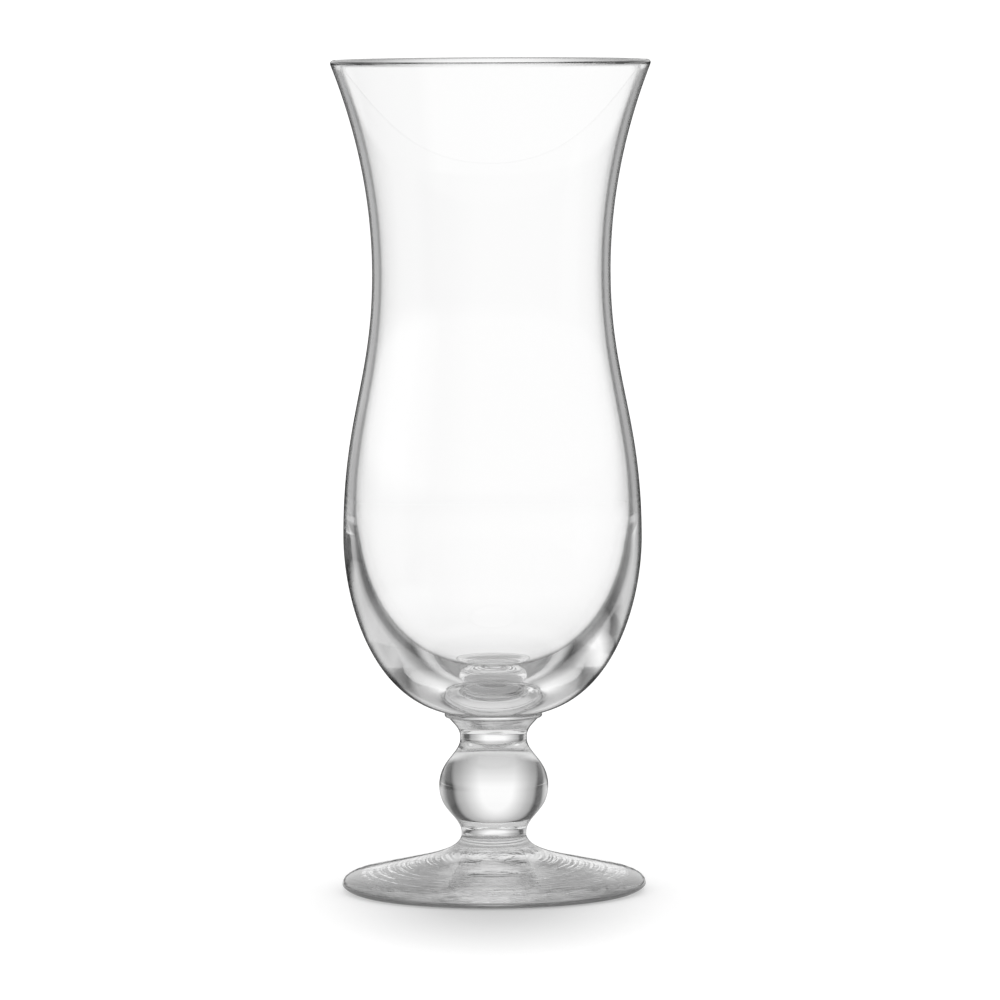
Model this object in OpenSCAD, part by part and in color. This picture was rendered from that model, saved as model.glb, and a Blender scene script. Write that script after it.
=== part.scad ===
// Hurricane glass: a tall footed glass for long drinks, in clear glass.
// Four pieces stand on each other and meet at flat round welds: a pressed foot,
// a pressed stem with a ball knop, a thin merese, and a blown bowl with a thick base.
// Every piece is turned about the Z axis, and the foot rests on Z = 0.

/* [Bowl] */
// Height of the bowl, from its weld to the lip
bowl_h = 161.5; // [150:0.1:175]
// Diameter over the lip
lip_d = 79; // [72:0.1:88]
// Thickness of the lip, which is fully rounded
lip_wall = 1.6; // [1.4:0.1:2.6]
// Diameter of the waist
waist_d = 58.9; // [52:0.1:66]
// Height of the waist above the weld
waist_h = 109.2; // [100:0.1:120]
// Thickness of the wall at the waist
waist_wall = 1.7; // [1.4:0.1:3]
// Diameter of the belly
belly_d = 73.9; // [68:0.1:84]
// Height of the belly's widest place above the weld
belly_h = 43.5; // [40:0.1:56]
// Thickness of the wall round the well's widest place
well_wall = 2.4; // [2:0.1:4]
// Height of the well's widest place above the weld
well_h = 50; // [46:0.1:60]
// Thickness of the solid base, from the weld to the floor of the well
base_t = 8.4; // [6:0.1:14]
// Diameter of the flat under the bowl
seat_d = 24; // [22:0.1:30]

/* [Merese] */
// Diameter of the merese, the thin disc of glass between bowl and stem
merese_d = 24.2; // [22.5:0.1:25]
// Thickness of the merese, whose edge is fully rounded
merese_t = 1.2; // [0.8:0.1:2]

/* [Stem] */
// Height of the stem, from the foot to the merese
stem_h = 28.9; // [27:0.1:36]
// Diameter where the stem flares out under the merese
flare_d = 22.4; // [18:0.1:22.5]
// Diameter of the neck above the knop
upper_neck_d = 16.5; // [12:0.1:17.5]
// Height of the upper neck above the stem's lower end
upper_neck_h = 23.6; // [21:0.1:25]
// Diameter of the knop
knop_d = 27.1; // [22:0.1:32]
// Height of the knop's widest place above the stem's lower end
knop_h = 11.6; // [9:0.1:14]
// Diameter of the neck below the knop, where stem and foot are welded
lower_neck_d = 16.1; // [12:0.1:18]

/* [Foot] */
// Height of the foot, up to its weld with the stem
foot_h = 14.4; // [12.5:0.1:18]
// Diameter of the foot
foot_d = 75.4; // [68:0.1:84]
// Height of the foot's widest place
edge_h = 1.75; // [1:0.05:2.5]
// Thickness of the foot where its edge starts to round over
edge_t = 5; // [3.5:0.1:6]
// Width of the rounding on top of the edge
edge_round_w = 4.5; // [2:0.1:5.5]
// Slope of the foot's top, in degrees
foot_slope = 12.5; // [8:0.5:14]
// Width of the flare from the neck out to the sloping top
foot_flare_w = 12.2; // [9:0.1:16]
// Outer diameter of the ring that the foot rests on
ring_d = 69; // [62:0.1:72]
// Width of that ring
ring_w = 2.2; // [1:0.1:4]
// Height of the hollow under the middle of the foot
hollow_h = 2.2; // [0.5:0.1:3.5]

/* [Smoothness] */
// Steps along each curve of an outline
curve_steps = 16; // [8:1:32]
// Facets round each turned piece in the preview
round_steps = 144; // [48:12:240]

/* [Hidden] */
clear_glass = [0.86, 0.92, 0.94, 0.35];

// Heights at which the pieces stand
stem_z = foot_h;
merese_z = stem_z + stem_h;
bowl_z = merese_z + merese_t;

// Fullness of the rounded base in width and in height, where 2 gives an ellipse
base_fullness = [2.8, 1.85];
well_fullness = [2.5, 1.9];

// How far each curve runs straight on from its ends, as shares of its height or width
flank_shares = [0.46, 0.405];
well_shares = [0.36, 0.43];
lower_neck_share = 0.36;
knop_underside_share = 0.52;
knop_top_share = 0.55;
upper_neck_share = 0.325;
flare_foot_share = 0.51;
flare_top_shares = [0.52, 0.36];
foot_neck_share = 0.46;
foot_cone_share = 0.72;
edge_top_share = 0.62;
edge_side_share = 0.55;
edge_under_shares = [0.4, 0.3];

// Point at share t of the curve from a to d that leaves towards b and arrives from c
function curve_at(a, b, c, d, t) =
    a * (1 - t) ^ 3 + b * 3 * t * (1 - t) ^ 2 + c * 3 * t ^ 2 * (1 - t) + d * t ^ 3;

// The points of that curve, without its start
function curve(a, b, c, d) = [for (i = [1:curve_steps]) curve_at(a, b, c, d, i / curve_steps)];

// Curve from a to b that is upright at both ends
function upright_curve(a, b, share_a, share_b) =
    let (rise = b.y - a.y)
    curve(a, [a.x, a.y + rise * share_a], [b.x, b.y - rise * share_b], b);

// Flare from a upright start at a that opens with the square of the height up to b, without its start
function flare(a, b) = [for (i = [1:curve_steps])
    let (t = i / curve_steps)
    [a.x + (b.x - a.x) * t ^ 2, a.y + (b.y - a.y) * t]];

// Rounded bottom with radius r and widest height h that reaches radius r_low at height low
function bottom(r, h, r_low, low, fullness) =
    let (start = acos((r_low / r) ^ (fullness.x / 2)),
         depth = (h - low) / sin(start) ^ (2 / fullness.y))
    [for (i = [0:curve_steps])
        let (t = start * (1 - i / curve_steps))
        [r * cos(t) ^ (2 / fullness.x), h - depth * sin(t) ^ (2 / fullness.y)]];

// Arc of radius r about c between two angles
function arc(c, r, from, to) = [for (i = [0:curve_steps])
    let (a = from + (to - from) * i / curve_steps)
    c + r * [cos(a), sin(a)]];

function reversed(points) = [for (i = [len(points) - 1:-1:0]) points[i]];

module turned(points) {
    color(clear_glass) rotate_extrude($fn = round_steps) polygon(points);
}

// Foot: a sloping disc with a rounded edge, a short neck, and a hollow inside its resting ring
module foot() {
    foot_r = foot_d / 2;
    neck_r = lower_neck_d / 2;
    ring_r = ring_d / 2;
    hollow_r = ring_r - ring_w;
    fall = [cos(foot_slope), -sin(foot_slope)];
    cone_end = [foot_r - edge_round_w, edge_t];
    cone_w = cone_end.x - neck_r - foot_flare_w;
    cone_start = cone_end - fall * cone_w / fall.x;
    side = [foot_r, edge_h];
    underside = [for (i = [0:curve_steps])
        let (t = i / curve_steps)
        [hollow_r * t, hollow_h * (1 - t ^ 2)]];
    under_w = foot_r - ring_r;
    lower_edge = curve([ring_r, 0], [ring_r + under_w * edge_under_shares.x, 0],
        [foot_r, edge_h * (1 - edge_under_shares.y)], side);
    upper_edge = curve(side, [foot_r, edge_h + (edge_t - edge_h) * edge_side_share],
        cone_end + fall * edge_round_w * edge_top_share, cone_end);
    flare_h = foot_h - cone_start.y;
    neck_flare = curve(cone_start, cone_start - fall * foot_flare_w * foot_cone_share,
        [neck_r, foot_h - flare_h * foot_neck_share], [neck_r, foot_h]);
    turned(concat(underside, [[ring_r, 0]], lower_edge, upper_edge, [cone_start], neck_flare, [[0, foot_h]]));
}

// Stem: a ball knop between two necks, flaring out at the top
module stem() {
    low = [lower_neck_d / 2, 0];
    ball = [knop_d / 2, knop_h];
    neck = [upper_neck_d / 2, upper_neck_h];
    top = [flare_d / 2, stem_h];
    flare_rise = top - neck;
    flare_curve = curve(neck, [neck.x, neck.y + flare_rise.y * flare_foot_share],
        [top.x - flare_rise.x * flare_top_shares.x, top.y - flare_rise.y * flare_top_shares.y], top);
    translate([0, 0, stem_z])
        turned(concat([[0, 0], low],
            upright_curve(low, ball, lower_neck_share, knop_underside_share),
            upright_curve(ball, neck, knop_top_share, upper_neck_share),
            flare_curve, [[0, stem_h]]));
}

// Merese: a thin disc with a fully rounded edge
module merese() {
    edge_r = merese_t / 2;
    translate([0, 0, merese_z])
        turned(concat([[0, 0]], arc([merese_d / 2 - edge_r, edge_r], edge_r, -90, 90), [[0, merese_t]]));
}

// Bowl: full belly, narrow waist and flared lip round a deep well
module bowl() {
    lip_r = lip_d / 2;
    waist = [waist_d / 2, waist_h];
    belly = [belly_d / 2, belly_h];
    inner_waist = [waist.x - waist_wall, waist_h];
    well = [belly.x - well_wall, well_h];
    // The lip leans out as steeply as the flare that it ends
    lean = atan(2 * (lip_r - waist.x) / (bowl_h - waist_h));
    edge_r = lip_wall / 2;
    lip = arc([lip_r - edge_r, bowl_h - edge_r], edge_r, -lean, 180 - lean);
    outside = concat(
        bottom(belly.x, belly_h, seat_d / 2, 0, base_fullness),
        upright_curve(belly, waist, flank_shares.x, flank_shares.y),
        flare(waist, lip[0]));
    inside = concat(
        bottom(well.x, well_h, 0, base_t, well_fullness),
        upright_curve(well, inner_waist, well_shares.x, well_shares.y),
        flare(inner_waist, lip[curve_steps]));
    lip_top = [for (i = [1:curve_steps - 1]) lip[i]];
    translate([0, 0, bowl_z])
        turned(concat([[0, 0]], outside, lip_top, reversed(inside)));
}

foot();
stem();
merese();
bowl();
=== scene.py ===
# Hurricane glass in clear glass, on a white table in front of a white background
# It is four pieces of glass: a pressed foot, a pressed stem, a thin merese and a blown bowl

import math

import bpy
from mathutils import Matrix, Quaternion, Vector


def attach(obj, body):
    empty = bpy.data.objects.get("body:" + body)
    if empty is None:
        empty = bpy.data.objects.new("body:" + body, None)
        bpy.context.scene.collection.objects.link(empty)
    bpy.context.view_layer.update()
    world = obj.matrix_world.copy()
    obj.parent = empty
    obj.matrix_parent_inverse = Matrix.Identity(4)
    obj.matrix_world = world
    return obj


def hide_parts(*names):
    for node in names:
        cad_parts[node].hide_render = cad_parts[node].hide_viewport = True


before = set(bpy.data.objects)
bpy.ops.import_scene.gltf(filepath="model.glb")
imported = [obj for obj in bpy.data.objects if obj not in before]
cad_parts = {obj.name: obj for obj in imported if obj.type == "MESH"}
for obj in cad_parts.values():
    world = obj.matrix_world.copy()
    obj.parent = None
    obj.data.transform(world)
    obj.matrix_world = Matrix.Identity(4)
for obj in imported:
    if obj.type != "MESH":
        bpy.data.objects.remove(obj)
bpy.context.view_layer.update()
scene = bpy.context.scene

MM = 0.001

# Sizes in millimetres, the same as in the part's source
BOWL_H = 161.5
LIP_D = 79.0
LIP_WALL = 1.6
WAIST_D = 58.9
WAIST_H = 109.2
WAIST_WALL = 1.7
BELLY_D = 73.9
BELLY_H = 43.5
WELL_WALL = 2.4
WELL_H = 50.0
BASE_T = 8.4
SEAT_D = 24.0
MERESE_D = 24.2
MERESE_T = 1.2
STEM_H = 28.9
FLARE_D = 22.4
UPPER_NECK_D = 16.5
UPPER_NECK_H = 23.6
KNOP_D = 27.1
KNOP_H = 11.6
LOWER_NECK_D = 16.1
FOOT_H = 14.4
FOOT_D = 75.4
EDGE_H = 1.75
EDGE_T = 5.0
EDGE_ROUND_W = 4.5
FOOT_SLOPE = 12.5
FOOT_FLARE_W = 12.2
RING_D = 69.0
RING_W = 2.2
HOLLOW_H = 2.2

# Heights at which the pieces stand
STEM_Z = FOOT_H
MERESE_Z = STEM_Z + STEM_H
BOWL_Z = MERESE_Z + MERESE_T

# How round each outline is, and how smoothly it is cut
BASE_FULLNESS = (2.8, 1.85)
WELL_FULLNESS = (2.5, 1.9)
FLANK_SHARES = (0.46, 0.405)
WELL_SHARES = (0.36, 0.43)
LOWER_NECK_SHARE = 0.36
KNOP_SHARES = (0.52, 0.55)
UPPER_NECK_SHARE = 0.325
FLARE_FOOT_SHARE = 0.51
FLARE_TOP_SHARES = (0.52, 0.36)
FOOT_NECK_SHARE = 0.46
FOOT_CONE_SHARE = 0.72
EDGE_TOP_SHARE = 0.62
EDGE_SIDE_SHARE = 0.55
EDGE_UNDER_SHARES = (0.4, 0.3)
CURVE_STEPS = 36
CONE_STEPS = 8
LIP_STEPS = 24
DISC_RINGS = 6
ROUND_STEPS = 240
SHARP_ANGLE = 40
SHEET_SIZE = 1
MERGE_DISTANCE = 1e-6


# Outlines are lists of (radius, height) in millimetres

def mixed(a, b, share):
    return (a[0] + (b[0] - a[0]) * share, a[1] + (b[1] - a[1]) * share)


def curve(a, b, c, d):
    """Points of the curve from a to d that leaves towards b and arrives from c, without its start."""
    points = []
    for i in range(1, CURVE_STEPS + 1):
        t = i / CURVE_STEPS
        ab, bc, cd = mixed(a, b, t), mixed(b, c, t), mixed(c, d, t)
        points.append(mixed(mixed(ab, bc, t), mixed(bc, cd, t), t))
    return points


def upright_curve(a, b, share_a, share_b):
    """Curve from a to b that is upright at both ends."""
    rise = b[1] - a[1]
    return curve(a, (a[0], a[1] + rise * share_a), (b[0], b[1] - rise * share_b), b)


def flare(a, b):
    """Upright start at a that opens with the square of the height up to b."""
    points = []
    for i in range(1, CURVE_STEPS + 1):
        t = i / CURVE_STEPS
        points.append((a[0] + (b[0] - a[0]) * t ** 2, a[1] + (b[1] - a[1]) * t))
    return points


def rounded_bottom(r, h, r_low, low, fullness):
    """Full round from the height low up to the widest place, radius r at height h."""
    across, up = fullness
    start = math.acos((r_low / r) ** (across / 2))
    depth = (h - low) / math.sin(start) ** (2 / up)
    points = []
    for i in range(CURVE_STEPS + 1):
        t = start * (1 - i / CURVE_STEPS)
        points.append((r * math.cos(t) ** (2 / across), h - depth * math.sin(t) ** (2 / up)))
    return points


def arc(centre, r, start, end, steps):
    """Part of a round about a centre, between two angles in degrees."""
    points = []
    for i in range(steps + 1):
        a = math.radians(start + (end - start) * i / steps)
        points.append((centre[0] + r * math.cos(a), centre[1] + r * math.sin(a)))
    return points


def disc(z, r, outwards):
    """Flat round face from the axis to r, in rings."""
    points = [(r * i / DISC_RINGS, z) for i in range(DISC_RINGS + 1)]
    return points if outwards else points[::-1]


def raised(points, z):
    return [(r, h + z) for r, h in points]


def foot_outline():
    """Outline of the foot, and the first and last row of its weld."""
    foot_r = FOOT_D / 2
    neck_r = LOWER_NECK_D / 2
    ring_r = RING_D / 2
    hollow_r = ring_r - RING_W
    slope = math.radians(FOOT_SLOPE)
    fall = (math.cos(slope), -math.sin(slope))
    cone_end = (foot_r - EDGE_ROUND_W, EDGE_T)
    cone_w = cone_end[0] - neck_r - FOOT_FLARE_W
    cone_start = (cone_end[0] - cone_w, cone_end[1] + cone_w * math.tan(slope))
    side = (foot_r, EDGE_H)
    points = []
    for i in range(CURVE_STEPS + 1):
        t = i / CURVE_STEPS
        points.append((hollow_r * t, HOLLOW_H * (1 - t ** 2)))
    points.append((ring_r, 0))
    under, upward = EDGE_UNDER_SHARES
    points += curve((ring_r, 0), (ring_r + (foot_r - ring_r) * under, 0),
                    (foot_r, EDGE_H * (1 - upward)), side)
    reach = EDGE_ROUND_W * EDGE_TOP_SHARE
    points += curve(side, (foot_r, EDGE_H + (EDGE_T - EDGE_H) * EDGE_SIDE_SHARE),
                    (cone_end[0] + fall[0] * reach, cone_end[1] + fall[1] * reach), cone_end)
    for i in range(1, CONE_STEPS + 1):
        points.append(mixed(cone_end, cone_start, i / CONE_STEPS))
    reach = FOOT_FLARE_W * FOOT_CONE_SHARE
    points += curve(cone_start, (cone_start[0] - fall[0] * reach, cone_start[1] - fall[1] * reach),
                    (neck_r, FOOT_H - (FOOT_H - cone_start[1]) * FOOT_NECK_SHARE), (neck_r, FOOT_H))
    top = disc(FOOT_H, neck_r, False)
    return points + top[1:], len(points) - 1, len(points) + len(top) - 2


def stem_outline():
    """Outline of the stem, and the last row of its lower weld."""
    low = (LOWER_NECK_D / 2, 0)
    ball = (KNOP_D / 2, KNOP_H)
    neck = (UPPER_NECK_D / 2, UPPER_NECK_H)
    top = (FLARE_D / 2, STEM_H)
    bottom = disc(0, low[0], True)
    rise = (top[0] - neck[0], top[1] - neck[1])
    under, over = KNOP_SHARES
    across, down = FLARE_TOP_SHARES
    points = bottom + upright_curve(low, ball, LOWER_NECK_SHARE, under)
    points += upright_curve(ball, neck, over, UPPER_NECK_SHARE)
    points += curve(neck, (neck[0], neck[1] + rise[1] * FLARE_FOOT_SHARE),
                    (top[0] - rise[0] * across, top[1] - rise[1] * down), top)
    points += disc(STEM_H, top[0], False)[1:]
    return raised(points, STEM_Z), len(bottom) - 1


def merese_outline():
    """Outline of the merese, and the last row of its lower weld."""
    edge_r = MERESE_T / 2
    flat_r = MERESE_D / 2 - edge_r
    under = disc(0, FLARE_D / 2, True)
    points = under + arc((flat_r, edge_r), edge_r, -90, 90, LIP_STEPS) + disc(MERESE_T, flat_r, False)[1:]
    return raised(points, MERESE_Z), len(under) - 1


def bowl_outline():
    """Outline of the bowl, and the last row of its weld."""
    lip_r = LIP_D / 2
    waist = (WAIST_D / 2, WAIST_H)
    belly = (BELLY_D / 2, BELLY_H)
    inner_waist = (waist[0] - WAIST_WALL, WAIST_H)
    well = (belly[0] - WELL_WALL, WELL_H)
    lean = math.degrees(math.atan(2 * (lip_r - waist[0]) / (BOWL_H - WAIST_H)))
    edge_r = LIP_WALL / 2
    lip = arc((lip_r - edge_r, BOWL_H - edge_r), edge_r, -lean, 180 - lean, LIP_STEPS)
    weld = disc(0, MERESE_D / 2 - MERESE_T / 2, True)
    outside = rounded_bottom(belly[0], BELLY_H, SEAT_D / 2, 0, BASE_FULLNESS)
    outside += upright_curve(belly, waist, *FLANK_SHARES) + flare(waist, lip[0])
    inside = rounded_bottom(well[0], WELL_H, 0, BASE_T, WELL_FULLNESS)
    inside += upright_curve(well, inner_waist, *WELL_SHARES) + flare(inner_waist, lip[-1])
    return raised(weld + outside + lip[1:-1] + inside[::-1], BOWL_Z), len(weld) - 1


# Node helpers

def add(tree, kind, **settings):
    """New node of a kind, with its settings."""
    node = tree.nodes.new(kind)
    for name, value in settings.items():
        setattr(node, name, value)
    return node


def maths(tree, operation, first, second=None):
    """Result of one sum, whose values are numbers or the outputs of other nodes."""
    node = add(tree, "ShaderNodeMath", operation=operation)
    for socket, value in zip(node.inputs, (first, second)):
        if value is None:
            continue
        if isinstance(value, (int, float)):
            socket.default_value = value
        else:
            tree.links.new(value, socket)
    return node.outputs[0]


def ramp(tree, value, low, high, low_to=0.0, high_to=1.0):
    """Smooth change from one level to another while the value goes from low to high."""
    node = add(tree, "ShaderNodeMapRange", interpolation_type="SMOOTHSTEP")
    tree.links.new(value, node.inputs["Value"])
    node.inputs["From Min"].default_value = low
    node.inputs["From Max"].default_value = high
    node.inputs["To Min"].default_value = low_to
    node.inputs["To Max"].default_value = high_to
    return node.outputs["Result"]


def graded(tree, value, stops, whole=1.0):
    """Level at a value, read off a list of values and levels. The value is given as a share of the whole."""
    node = add(tree, "ShaderNodeValToRGB")
    elements = node.color_ramp.elements
    while len(elements) < len(stops):
        elements.new(0.5)
    for element, (place, level) in zip(elements, stops):
        element.position = place / whole
        element.color = (level, level, level, 1)
    tree.links.new(value, node.inputs["Fac"])
    return node.outputs["Color"]


def mixed_values(tree, share, first, second):
    """From the first value to the second, by a share."""
    node = add(tree, "ShaderNodeMix", data_type="FLOAT")
    for socket, value in (("Factor", share), ("A", first), ("B", second)):
        if isinstance(value, (int, float)):
            node.inputs[socket].default_value = value
        else:
            tree.links.new(value, node.inputs[socket])
    return node.outputs["Result"]


# Geometry nodes that turn an outline about the Z axis into one closed piece of glass

def turning_tree():
    tree = bpy.data.node_groups.new("turned_glass", "GeometryNodeTree")
    face = tree.interface
    face.new_socket("Outline", in_out="INPUT", socket_type="NodeSocketGeometry")
    face.new_socket("Steps round", in_out="INPUT", socket_type="NodeSocketInt")
    face.new_socket("Points", in_out="INPUT", socket_type="NodeSocketInt")
    face.new_socket("Glass", in_out="INPUT", socket_type="NodeSocketMaterial")
    face.new_socket("Weld", in_out="INPUT", socket_type="NodeSocketMaterial")
    face.new_socket("Piece", in_out="OUTPUT", socket_type="NodeSocketGeometry")
    given = add(tree, "NodeGroupInput").outputs
    link = tree.links.new

    # A sheet with one column for each step round and one row for each point of the outline
    columns = maths(tree, "ADD", given["Steps round"], 1)
    sheet = add(tree, "GeometryNodeMeshGrid")
    sheet.inputs["Size X"].default_value = SHEET_SIZE
    sheet.inputs["Size Y"].default_value = SHEET_SIZE
    link(columns, sheet.inputs["Vertices X"])
    link(given["Points"], sheet.inputs["Vertices Y"])
    place = add(tree, "ShaderNodeSeparateXYZ")
    link(add(tree, "GeometryNodeInputPosition").outputs[0], place.inputs[0])
    last = maths(tree, "SUBTRACT", given["Points"], 1)
    row = maths(tree, "MULTIPLY", maths(tree, "ADD", place.outputs["Y"], SHEET_SIZE / 2), last)

    # Each face keeps the row that it starts from, for the choice between glass and weld
    kept_row = add(tree, "GeometryNodeCaptureAttribute", domain="FACE")
    kept_row.capture_items.new("FLOAT", "Row")
    link(sheet.outputs["Mesh"], kept_row.inputs["Geometry"])
    link(maths(tree, "FLOOR", row), kept_row.inputs["Row"])

    # Every point moves to its outline point, turned about the axis
    point = add(tree, "GeometryNodeSampleIndex", data_type="FLOAT_VECTOR", domain="POINT")
    link(given["Outline"], point.inputs["Geometry"])
    link(add(tree, "GeometryNodeInputPosition").outputs[0], point.inputs["Value"])
    link(maths(tree, "ROUND", row), point.inputs["Index"])
    outline = add(tree, "ShaderNodeSeparateXYZ")
    link(point.outputs[0], outline.inputs[0])
    turn = maths(tree, "MULTIPLY", place.outputs["X"], math.tau)
    moved = add(tree, "ShaderNodeCombineXYZ")
    link(maths(tree, "MULTIPLY", outline.outputs["X"], maths(tree, "COSINE", turn)), moved.inputs["X"])
    link(maths(tree, "MULTIPLY", outline.outputs["X"], maths(tree, "SINE", turn)), moved.inputs["Y"])
    link(outline.outputs["Z"], moved.inputs["Z"])
    placed = add(tree, "GeometryNodeSetPosition")
    link(kept_row.outputs["Geometry"], placed.inputs["Geometry"])
    link(moved.outputs[0], placed.inputs["Position"])

    # The seam and the two poles close
    closed = add(tree, "GeometryNodeMergeByDistance")
    closed.inputs["Distance"].default_value = MERGE_DISTANCE
    link(placed.outputs[0], closed.inputs["Geometry"])
    smooth = add(tree, "GeometryNodeSetShadeSmooth")
    link(closed.outputs[0], smooth.inputs["Geometry"])
    whole = add(tree, "GeometryNodeRealizeInstances")
    link(smooth.outputs[0], whole.inputs["Geometry"])

    welded = add(tree, "GeometryNodeSampleIndex", data_type="BOOLEAN", domain="POINT")
    mark = add(tree, "GeometryNodeInputNamedAttribute", data_type="BOOLEAN")
    mark.inputs["Name"].default_value = "weld"
    link(given["Outline"], welded.inputs["Geometry"])
    link(mark.outputs["Attribute"], welded.inputs["Value"])
    link(kept_row.outputs["Row"], welded.inputs["Index"])
    glass = add(tree, "GeometryNodeSetMaterial")
    link(whole.outputs[0], glass.inputs["Geometry"])
    link(given["Glass"], glass.inputs["Material"])
    weld = add(tree, "GeometryNodeSetMaterial")
    link(glass.outputs[0], weld.inputs["Geometry"])
    link(welded.outputs[0], weld.inputs["Selection"])
    link(given["Weld"], weld.inputs["Material"])
    link(weld.outputs[0], add(tree, "NodeGroupOutput").inputs["Piece"])
    return tree


TURNING = turning_tree()


def turned_piece(name, node, points, weld_rows, glass, weld):
    """One closed piece of glass, turned from its outline, in the place of a CAD node."""
    mesh = bpy.data.meshes.new(name + "_outline")
    edges = [(i, i + 1) for i in range(len(points) - 1)]
    mesh.from_pydata([(r * MM, 0, z * MM) for r, z in points], edges, [])
    marks = mesh.attributes.new("weld", "BOOLEAN", "POINT")
    for i in weld_rows:
        marks.data[i].value = True
    piece = bpy.data.objects.new(name, mesh)
    scene.collection.objects.link(piece)
    turning = piece.modifiers.new("turning", "NODES")
    turning.node_group = TURNING
    values = {"Steps round": ROUND_STEPS, "Points": len(points), "Glass": glass, "Weld": weld}
    for socket in TURNING.interface.items_tree:
        if socket.name in values:
            turning[socket.identifier] = values[socket.name]
    finished = piece.evaluated_get(bpy.context.evaluated_depsgraph_get())
    turned = bpy.data.meshes.new_from_object(finished)
    piece.modifiers.clear()
    piece.data = turned
    turned.set_sharp_from_angle(angle=math.radians(SHARP_ANGLE))
    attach(piece, "root")
    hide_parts(node)
    return piece


def end_welds(points, last):
    """Rows of the lower weld, up to its last one, and of the weld on top."""
    return [*range(last), *range(len(points) - 1 - DISC_RINGS, len(points) - 1)]


# Materials

# The marks set in between these shares of the calm reach, which is never less than the least reach in metres
CALM_EDGE = (0.8, 1.2)
LEAST_REACH = 0.0001


def ripple_group():
    """Height of the slow waves, fine ripples and marks round the axis that glass keeps from its making."""
    tree = bpy.data.node_groups.new("glass_ripples", "ShaderNodeTree")
    face = tree.interface
    face.new_socket("Place", in_out="INPUT", socket_type="NodeSocketVector")
    face.new_socket("Wave size", in_out="INPUT", socket_type="NodeSocketFloat")
    face.new_socket("Ripple size", in_out="INPUT", socket_type="NodeSocketFloat")
    face.new_socket("Ripple share", in_out="INPUT", socket_type="NodeSocketFloat")
    face.new_socket("Mark size", in_out="INPUT", socket_type="NodeSocketFloat")
    face.new_socket("Mark share", in_out="INPUT", socket_type="NodeSocketFloat")
    face.new_socket("Calm middle", in_out="INPUT", socket_type="NodeSocketFloat")
    face.new_socket("Calm reach", in_out="INPUT", socket_type="NodeSocketFloat")
    face.new_socket("Height", in_out="OUTPUT", socket_type="NodeSocketFloat")
    given = add(tree, "NodeGroupInput").outputs
    link = tree.links.new
    heights = []
    for size, detail in (("Wave size", 1), ("Ripple size", 2)):
        noise = add(tree, "ShaderNodeTexNoise")
        noise.inputs["Detail"].default_value = detail
        link(given["Place"], noise.inputs["Vector"])
        link(maths(tree, "DIVIDE", 1, given[size]), noise.inputs["Scale"])
        heights.append(noise.outputs["Fac"])
    fine = maths(tree, "MULTIPLY", heights[1], given["Ripple share"])

    # Marks change quickly with radius and height, and slowly round the axis
    parts = add(tree, "ShaderNodeSeparateXYZ")
    link(given["Place"], parts.inputs[0])
    level = add(tree, "ShaderNodeVectorMath", operation="MULTIPLY")
    level.inputs[1].default_value = (1, 1, 0)
    link(given["Place"], level.inputs[0])
    around = add(tree, "ShaderNodeVectorMath", operation="NORMALIZE")
    link(level.outputs[0], around.inputs[0])
    radius = add(tree, "ShaderNodeVectorMath", operation="LENGTH")
    link(level.outputs[0], radius.inputs[0])
    upwards = add(tree, "ShaderNodeCombineXYZ")
    link(maths(tree, "DIVIDE", parts.outputs["Z"], given["Mark size"]), upwards.inputs["Z"])
    spot = add(tree, "ShaderNodeVectorMath", operation="ADD")
    link(around.outputs[0], spot.inputs[0])
    link(upwards.outputs[0], spot.inputs[1])
    marks = add(tree, "ShaderNodeTexNoise", noise_dimensions="4D")
    marks.inputs["Scale"].default_value = 1
    marks.inputs["Detail"].default_value = 1
    link(spot.outputs[0], marks.inputs["Vector"])
    link(maths(tree, "DIVIDE", radius.outputs["Value"], given["Mark size"]), marks.inputs["W"])
    away = maths(tree, "ABSOLUTE", maths(tree, "SUBTRACT", parts.outputs["Z"], given["Calm middle"]))
    share = maths(tree, "DIVIDE", away, maths(tree, "MAXIMUM", given["Calm reach"], LEAST_REACH))
    calm = ramp(tree, share, *CALM_EDGE)
    marks = maths(tree, "MULTIPLY", maths(tree, "MULTIPLY", marks.outputs["Fac"], given["Mark share"]), calm)
    height = maths(tree, "ADD", maths(tree, "ADD", heights[0], fine), marks)
    link(height, add(tree, "NodeGroupOutput").inputs["Height"])
    return tree


RIPPLES = ripple_group()

GLASS_IOR = 1.5

# At this blend, facing goes evenly with the cosine, from 0 for a surface seen square on to 1 for one edge on
EVEN_BLEND = 0.5

# Painted shade in the glass's colour: how much light goes into the glass by that facing, so that edges
# darken, small roundings earlier
EDGE_SHADE = (
    (0.00, 1.00),
    (0.66, 1.00),
    (0.76, 0.80),
    (0.82, 0.12),
    (1.00, 0.02),
)
ROUND_SHADE = (
    (0.00, 1.00),
    (0.05, 1.00),
    (0.20, 0.65),
    (0.35, 0.42),
    (1.00, 0.05),
)
LIP_SHADE = (
    (0.00, 1.00),
    (0.05, 0.96),
    (0.20, 0.54),
    (0.35, 0.31),
    (1.00, 0.03),
)
FOOT_SHADE = (
    (0.00, 1.00),
    (1.00, 0.95),
)
FOOT_EDGE_SHADE = (
    (0.00, 1.00),
    (0.10, 0.80),
    (0.30, 0.40),
    (0.55, 0.12),
    (1.00, 0.04),
)


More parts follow.
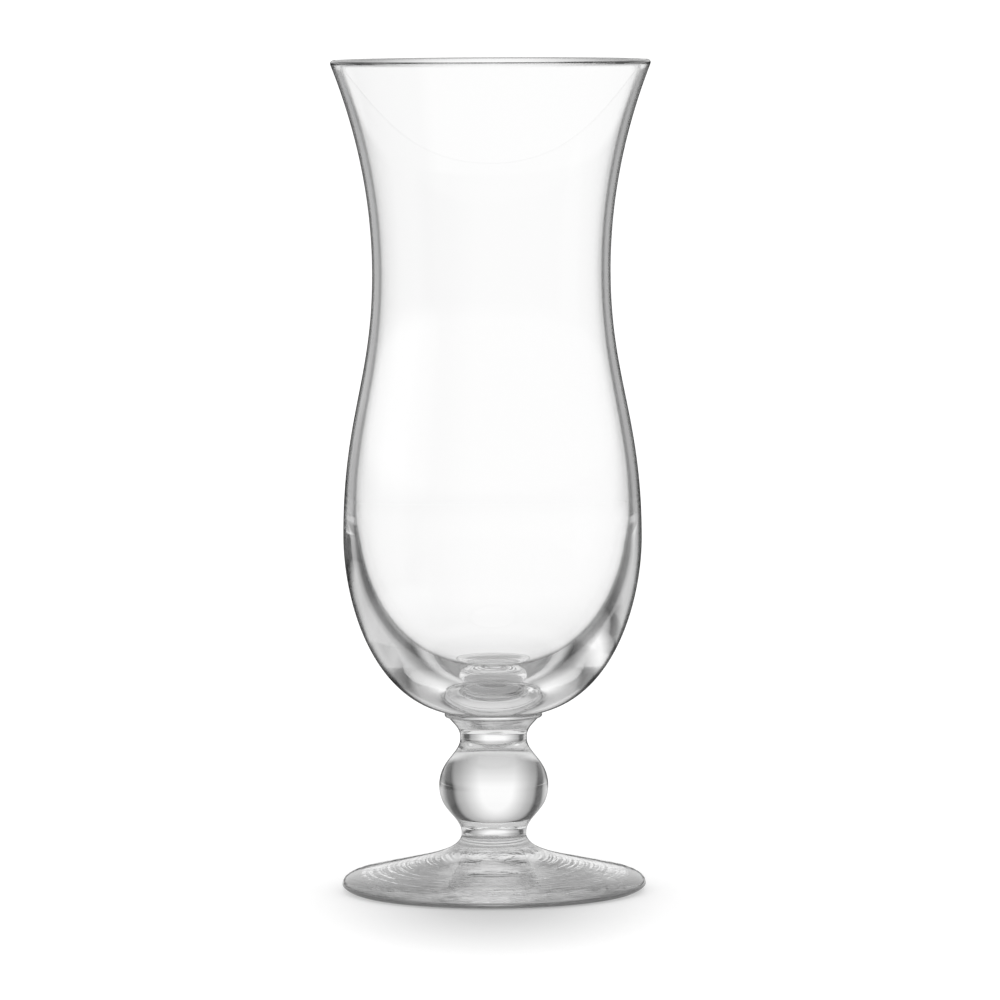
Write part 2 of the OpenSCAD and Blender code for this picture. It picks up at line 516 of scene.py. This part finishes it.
def glass_material(name, shade, ripple_values, height, rounding=None, round_shade=None):
    """Clear glass with painted shade in its colour: it darkens where it is seen edge on, and earlier at the
    height of a small rounding.
    """
    material = bpy.data.materials.new(name)
    material.use_nodes = True
    tree = material.node_tree
    link = tree.links.new
    shader = tree.nodes["Principled BSDF"]
    shader.inputs["Roughness"].default_value = 0.0
    shader.inputs["IOR"].default_value = GLASS_IOR
    shader.inputs["Transmission Weight"].default_value = 1.0
    place = add(tree, "ShaderNodeTexCoord").outputs["Object"]
    angle = add(tree, "ShaderNodeLayerWeight")
    angle.inputs["Blend"].default_value = EVEN_BLEND
    # The glass's colour holds a painted shade, darker the more edge on the surface is seen
    painted_shade = graded(tree, angle.outputs["Facing"], shade)
    if rounding:
        parts = add(tree, "ShaderNodeSeparateXYZ")
        link(place, parts.inputs[0])
        both = add(tree, "ShaderNodeMix", data_type="RGBA")
        link(ramp(tree, parts.outputs["Z"], *rounding), both.inputs["Factor"])
        link(painted_shade, both.inputs["A"])
        link(graded(tree, angle.outputs["Facing"], round_shade), both.inputs["B"])
        painted_shade = both.outputs["Result"]
    link(painted_shade, shader.inputs["Base Color"])
    ripples = add(tree, "ShaderNodeGroup", node_tree=RIPPLES)
    link(place, ripples.inputs["Place"])
    for socket, value in ripple_values.items():
        ripples.inputs[socket].default_value = value
    bump = add(tree, "ShaderNodeBump")
    bump.inputs["Distance"].default_value = height
    link(ripples.outputs["Height"], bump.inputs["Height"])
    link(bump.outputs["Normal"], shader.inputs["Normal"])
    return material


def weld_material():
    """Where two pieces are melted together there is no surface to see."""
    material = bpy.data.materials.new("melted_joint")
    material.use_nodes = True
    tree = material.node_tree
    tree.nodes.clear()
    clear = add(tree, "ShaderNodeBsdfTransparent")
    tree.links.new(clear.outputs[0], add(tree, "ShaderNodeOutputMaterial").inputs["Surface"])
    return material


WELD = weld_material()


def rippled(wave, ripple, ripple_share, mark, mark_share, calm_middle=0.0, calm_reach=0.0):
    """Sizes and shares of waves, ripples and marks, with no marks within a reach of the calm middle."""
    return {
        "Wave size": wave,
        "Ripple size": ripple,
        "Ripple share": ripple_share,
        "Mark size": mark,
        "Mark share": mark_share,
        "Calm middle": calm_middle,
        "Calm reach": calm_reach,
    }


# The lip's painted shade sets in between these depths in metres below its top
LIP_TOP = (BOWL_Z + BOWL_H) * MM
LIP_DEPTHS = (0.0013, 0.0008)
LIP_ROUNDING = (LIP_TOP - LIP_DEPTHS[0], LIP_TOP - LIP_DEPTHS[1])

# The painted edge shade of the foot is full up to the first height in metres, and gone from the second
EDGE_ROUNDING = (0.0016, 0.0036, 1, 0)

# Depth of the ripples in metres
FINE = 0.00002
PRESSED = 0.00006

# Ripples of each glass, with sizes and heights in metres
BOWL_RIPPLES = rippled(wave=0.03, ripple=0.008, ripple_share=0.1, mark=0.002, mark_share=0.5,
                       calm_middle=0.135, calm_reach=0.080)
MERESE_RIPPLES = rippled(wave=0.01, ripple=0.004, ripple_share=0.1, mark=0.0012, mark_share=4.0)
STEM_RIPPLES = rippled(wave=0.01, ripple=0.003, ripple_share=0.1, mark=0.0016, mark_share=12.0,
                       calm_middle=(STEM_Z + KNOP_H) * MM, calm_reach=0.0095)
FOOT_RIPPLES = rippled(wave=0.004, ripple=0.0012, ripple_share=0.3, mark=0.0009, mark_share=2.5,
                       calm_middle=0.0165, calm_reach=0.0115)

BOWL_GLASS = glass_material("blown_bowl_glass", EDGE_SHADE, BOWL_RIPPLES, FINE, LIP_ROUNDING, LIP_SHADE)
MERESE_GLASS = glass_material("merese_glass", ROUND_SHADE, MERESE_RIPPLES, FINE)
STEM_GLASS = glass_material("pressed_stem_glass", EDGE_SHADE, STEM_RIPPLES, FINE)
FOOT_GLASS = glass_material("pressed_foot_glass", FOOT_SHADE, FOOT_RIPPLES, PRESSED, EDGE_ROUNDING,
                            FOOT_EDGE_SHADE)

points, first, last = foot_outline()
turned_piece("pressed_foot", "foot", points, range(first, last), FOOT_GLASS, WELD)
points, last = stem_outline()
turned_piece("pressed_stem", "stem", points, end_welds(points, last), STEM_GLASS, WELD)
points, last = merese_outline()
turned_piece("merese_disc", "merese", points, end_welds(points, last), MERESE_GLASS, WELD)
points, last = bowl_outline()
turned_piece("blown_bowl", "bowl", points, range(last), BOWL_GLASS, WELD)


# Studio that the glass shows

# Round white screens stand far away, at these turns in degrees from the far side towards the left
SCREEN_TURNS = (2, 90)

# Through glass the screens fade with the angle in degrees from the nearest middle, and dark cloth follows
SEEN_THROUGH = (
    (0, 1.0),
    (11, 1.0),
    (18, 0.76),
    (26, 0.52),
    (33, 0.38),
    (39, 0.05),
    (50, 0.06),
    (60, 0.30),
    (75, 0.60),
)

# Heights count this much in that angle
SCREEN_STRETCH = 0.72

# Light through the hollow of the glass is at least this bright, and passes more surfaces than this
HOLLOW_LEAST = 0.85
SOLID_MOST = 2.5

# Reflections show the screens by the same angle
SEEN_REFLECTED = (
    (0, 0.02),
    (30, 0.05),
    (42, 0.70),
    (90, 0.80),
)

# They also show a white ceiling, which sets in between these heights of a direction of length 1
CEILING_START = 0.0
CEILING_FULL = 0.12

# Light on the table, the table's own colour, and its glow as the glass shows it and as the camera sees it
ROOM_LIGHT = 1.0
TABLE_SHADE = 0.66
TABLE_GLOW = 0.36
TABLE_GLOW_SEEN = 0.47

# The glass shows the table as white up to the first distance in metres, and the studio past the second
SCREENS_START = 0.5
SCREENS_FULL = 0.8

# Solid glass already shows the dark sides of the table from here on, and they fade in with the distance
SOLID_START = 0.045
SOLID_FULL = 0.060
# Through solid glass the table also has a painted shade near the foot, darkest close to it, by the distance
# in metres
SOLID_NEAR_SHADE = (
    (0.045, 0.56),
    (0.090, 0.72),
    (0.120, 0.82),
    (0.210, 0.94),
    (0.380, 1.00),
)

# The dark sides are lower than the lip. Light that comes down steeply from above these heights misses them
SIDES_LOW = 0.13
SIDES_HIGH = 0.15

# The height is worked out as if the light left the glass this far from the axis
WALL_REACH = 0.03

# Steepness is the length of a ray over the distance of its end from the axis
STEEP_START = 1.008
STEEP_FULL = 1.014

# Light that comes down less steeply passes over in part, from the first distances and up to the second
SLANT_STEEP = (0.982, 0.992)
SLANT_FROM = (0.39, 0.45)
SLANT_TO = (0.53, 0.59)
SLANT_SHARE = 0.4

# Reflections show the near table as white, and the studio past these distances, which are less for steep ones
MIRRORED_START = 0.18
MIRRORED_FULL = 0.30
MIRRORED_STEEP_START = 0.09
MIRRORED_STEEP_FULL = 0.14

# Painted shadow where the glass keeps light off the table under it, for all rays but the camera's, by the
# distance in metres from the axis
UNDER_SHADOW = (
    (0.010, 0.62),
    (0.028, 0.50),
    (0.036, 0.58),
    (0.045, 0.76),
    (0.060, 0.84),
    (0.120, 0.95),
    (0.240, 1.00),
)

# The camera sees a painted shadow, an oval, by the distance from its middle as a share of its reach
SHADOW_MIDDLE = (0, -0.03, 0)
SHADOW_REACH = (0.045, 0.10, 1.0)
SHADOW_WHOLE = 2.5
CAST_SHADOW = (
    (0.12, 0.61),
    (0.30, 0.66),
    (0.60, 0.80),
    (0.90, 0.93),
    (1.15, 0.985),
    (1.60, 1.00),
)

# Degrees in the whole range of an angle from the nearest screen
HALF_TURN = 180


def studio_group():
    """Brightness of the studio in a direction, as seen through the glass and as reflected by it."""
    tree = bpy.data.node_groups.new("studio_screens", "ShaderNodeTree")
    tree.interface.new_socket("Direction", in_out="INPUT", socket_type="NodeSocketVector")
    tree.interface.new_socket("Surfaces passed", in_out="INPUT", socket_type="NodeSocketFloat")
    tree.interface.new_socket("Through", in_out="OUTPUT", socket_type="NodeSocketFloat")
    tree.interface.new_socket("Reflected", in_out="OUTPUT", socket_type="NodeSocketFloat")
    given = add(tree, "NodeGroupInput").outputs
    link = tree.links.new
    flat = add(tree, "ShaderNodeVectorMath", operation="MULTIPLY")
    flat.inputs[1].default_value = (1, 1, SCREEN_STRETCH)
    link(given["Direction"], flat.inputs[0])
    unit = add(tree, "ShaderNodeVectorMath", operation="NORMALIZE")
    link(flat.outputs[0], unit.inputs[0])
    nearest = -1.0
    for turn in SCREEN_TURNS:
        place = math.radians(turn)
        near = add(tree, "ShaderNodeVectorMath", operation="DOT_PRODUCT")
        near.inputs[1].default_value = (-math.sin(place), math.cos(place), 0)
        link(unit.outputs[0], near.inputs[0])
        nearest = maths(tree, "MAXIMUM", near.outputs["Value"], nearest)
    angle = maths(tree, "DIVIDE", maths(tree, "ARCCOSINE", nearest), math.pi)
    result = add(tree, "NodeGroupOutput")
    through = graded(tree, angle, SEEN_THROUGH, HALF_TURN)
    hollow = maths(tree, "GREATER_THAN", given["Surfaces passed"], SOLID_MOST)
    through = mixed_values(tree, hollow, through, maths(tree, "MAXIMUM", through, HOLLOW_LEAST))
    link(through, result.inputs["Through"])
    even = add(tree, "ShaderNodeVectorMath", operation="NORMALIZE")
    link(given["Direction"], even.inputs[0])
    up = add(tree, "ShaderNodeSeparateXYZ")
    link(even.outputs[0], up.inputs[0])
    ceiling = ramp(tree, up.outputs["Z"], CEILING_START, CEILING_FULL)
    reflected = maths(tree, "MAXIMUM", graded(tree, angle, SEEN_REFLECTED, HALF_TURN), ceiling)
    link(reflected, result.inputs["Reflected"])
    return tree


STUDIO = studio_group()


def table_material():
    """White to the camera and in the glass, with a painted shadow of the glass, and studio light further out.
    """
    material = bpy.data.materials.new("white_table")
    material.use_nodes = True
    tree = material.node_tree
    tree.nodes.clear()
    link = tree.links.new
    rays = add(tree, "ShaderNodeLightPath").outputs
    place = add(tree, "ShaderNodeTexCoord").outputs["Object"]
    studio = add(tree, "ShaderNodeGroup", node_tree=STUDIO)
    link(place, studio.inputs["Direction"])
    link(rays["Transmission Depth"], studio.inputs["Surfaces passed"])
    length = add(tree, "ShaderNodeVectorMath", operation="LENGTH")
    link(place, length.inputs[0])
    distance = length.outputs["Value"]

    # Light through glass counts as glossy as well
    through = rays["Is Transmission Ray"]
    reflected = maths(tree, "SUBTRACT", rays["Is Glossy Ray"], through)

    # Where the glass shows the studio in place of the table
    solid = maths(tree, "LESS_THAN", rays["Transmission Depth"], SOLID_MOST)
    far = maths(tree, "MAXIMUM", ramp(tree, distance, SCREENS_START, SCREENS_FULL),
                maths(tree, "MULTIPLY", solid, ramp(tree, distance, SOLID_START, SOLID_FULL)))
    steepness = maths(tree, "DIVIDE", rays["Ray Length"], distance)
    steep = ramp(tree, steepness, STEEP_START, STEEP_FULL)
    level = maths(tree, "POWER", maths(tree, "SUBTRACT", distance, WALL_REACH), 2)
    height = maths(tree, "SUBTRACT", maths(tree, "POWER", rays["Ray Length"], 2), level)
    slant = maths(tree, "MULTIPLY", ramp(tree, steepness, *SLANT_STEEP, 0, SLANT_SHARE),
                  ramp(tree, distance, *SLANT_FROM))
    slant = maths(tree, "MULTIPLY", slant, ramp(tree, distance, *SLANT_TO, 1, 0))
    over = maths(tree, "MULTIPLY", maths(tree, "MAXIMUM", steep, slant),
                 ramp(tree, height, SIDES_LOW ** 2, SIDES_HIGH ** 2))
    far = maths(tree, "MULTIPLY", far, maths(tree, "SUBTRACT", 1, over))
    mirrored = maths(tree, "MULTIPLY", steep, ramp(tree, distance, MIRRORED_STEEP_START, MIRRORED_STEEP_FULL))
    mirrored = maths(tree, "MAXIMUM", mirrored, ramp(tree, distance, MIRRORED_START, MIRRORED_FULL))
    mirrored = maths(tree, "MULTIPLY", reflected, mirrored)
    out = maths(tree, "MAXIMUM", maths(tree, "MULTIPLY", far, through), mirrored)

    # Painted shadow of the glass, which darkens both the table's colour and its glow
    spot = add(tree, "ShaderNodeVectorMath", operation="SUBTRACT")
    spot.inputs[1].default_value = SHADOW_MIDDLE
    link(place, spot.inputs[0])
    round_spot = add(tree, "ShaderNodeVectorMath", operation="DIVIDE")
    round_spot.inputs[1].default_value = SHADOW_REACH
    link(spot.outputs[0], round_spot.inputs[0])
    reach = add(tree, "ShaderNodeVectorMath", operation="LENGTH")
    link(round_spot.outputs[0], reach.inputs[0])
    cast = maths(tree, "DIVIDE", reach.outputs["Value"], SHADOW_WHOLE)
    painted_shadow = mixed_values(tree, rays["Is Camera Ray"], graded(tree, distance, UNDER_SHADOW),
                          graded(tree, cast, CAST_SHADOW, SHADOW_WHOLE))

    # The white table, and the studio that the glass shows further out
    plain = add(tree, "ShaderNodeBsdfDiffuse")
    shade = add(tree, "ShaderNodeVectorMath", operation="SCALE")
    shade.inputs[0].default_value = (TABLE_SHADE, TABLE_SHADE, TABLE_SHADE)
    link(painted_shadow, shade.inputs["Scale"])
    link(shade.outputs[0], plain.inputs["Color"])
    glow = add(tree, "ShaderNodeEmission")
    seen = mixed_values(tree, rays["Is Glossy Ray"], 0, TABLE_GLOW)
    seen = mixed_values(tree, rays["Is Camera Ray"], seen, TABLE_GLOW_SEEN)
    link(maths(tree, "MULTIPLY", seen, painted_shadow), glow.inputs["Strength"])
    near = add(tree, "ShaderNodeAddShader")
    link(glow.outputs[0], near.inputs[0])
    link(plain.outputs[0], near.inputs[1])
    light = add(tree, "ShaderNodeEmission")
    # Painted shade near the foot on the table that solid glass shows
    sides = maths(tree, "MULTIPLY", studio.outputs["Through"], graded(tree, distance, SOLID_NEAR_SHADE))
    sides = mixed_values(tree, solid, studio.outputs["Through"], sides)
    link(mixed_values(tree, reflected, sides, studio.outputs["Reflected"]), light.inputs["Strength"])
    both = add(tree, "ShaderNodeMixShader")
    link(out, both.inputs[0])
    link(near.outputs[0], both.inputs[1])
    link(light.outputs[0], both.inputs[2])
    link(both.outputs[0], add(tree, "ShaderNodeOutputMaterial").inputs["Surface"])
    return material


TABLE_HALF = 60.0
sheet = bpy.data.meshes.new("table_top")
corners = [(-TABLE_HALF, -TABLE_HALF, 0), (TABLE_HALF, -TABLE_HALF, 0),
           (TABLE_HALF, TABLE_HALF, 0), (-TABLE_HALF, TABLE_HALF, 0)]
sheet.from_pydata(corners, [], [(0, 1, 2, 3)])
sheet.materials.append(table_material())
table = bpy.data.objects.new("table_top", sheet)
scene.collection.objects.link(table)


def make_world():
    """White to the camera, the studio's screens in the glass, and plain soft light on the table."""
    world = bpy.data.worlds.new("studio")
    scene.world = world
    world.use_nodes = True
    tree = world.node_tree
    tree.nodes.clear()
    link = tree.links.new
    studio = add(tree, "ShaderNodeGroup", node_tree=STUDIO)
    link(add(tree, "ShaderNodeTexCoord").outputs["Generated"], studio.inputs["Direction"])
    rays = add(tree, "ShaderNodeLightPath").outputs
    link(rays["Transmission Depth"], studio.inputs["Surfaces passed"])
    level = mixed_values(tree, rays["Is Glossy Ray"], ROOM_LIGHT, studio.outputs["Reflected"])
    level = mixed_values(tree, rays["Is Transmission Ray"], level, studio.outputs["Through"])
    glow = add(tree, "ShaderNodeBackground")
    glow.inputs["Color"].default_value = (1, 1, 1, 1)
    link(level, glow.inputs["Strength"])
    link(glow.outputs[0], add(tree, "ShaderNodeOutputWorld").inputs["Surface"])


make_world()

# Camera of the fitted view, with places in metres, lens and sensor in millimetres and the roll in radians

CAMERA_BACK = 1.7821
CAMERA_UP = 0.2346
AIM_Z = 0.0972
AIM_X = 0.00188
LENS = 260.0
SENSOR = 36.0
ROLL = -0.0046
SEEN_TO = 100

lens = bpy.data.cameras.new("camera")
lens.lens = LENS
lens.sensor_width = SENSOR
lens.clip_end = SEEN_TO
camera = bpy.data.objects.new("camera", lens)
scene.collection.objects.link(camera)
camera.location = (0, -CAMERA_BACK, CAMERA_UP)
ahead = Vector((AIM_X, 0, AIM_Z)) - camera.location
camera.rotation_mode = "QUATERNION"
camera.rotation_quaternion = ahead.to_track_quat("-Z", "Y") @ Quaternion((0, 0, 1), ROLL)
scene.camera = camera

scene.view_settings.view_transform = "Standard"

# Light that is caught in the thick glass needs many turns to find its way out
LIGHT_TURNS = 128
scene.cycles.max_bounces = LIGHT_TURNS
scene.cycles.glossy_bounces = LIGHT_TURNS
scene.cycles.transmission_bounces = LIGHT_TURNS
scene.cycles.transparent_max_bounces = LIGHT_TURNS

bpy.context.view_layer.update()
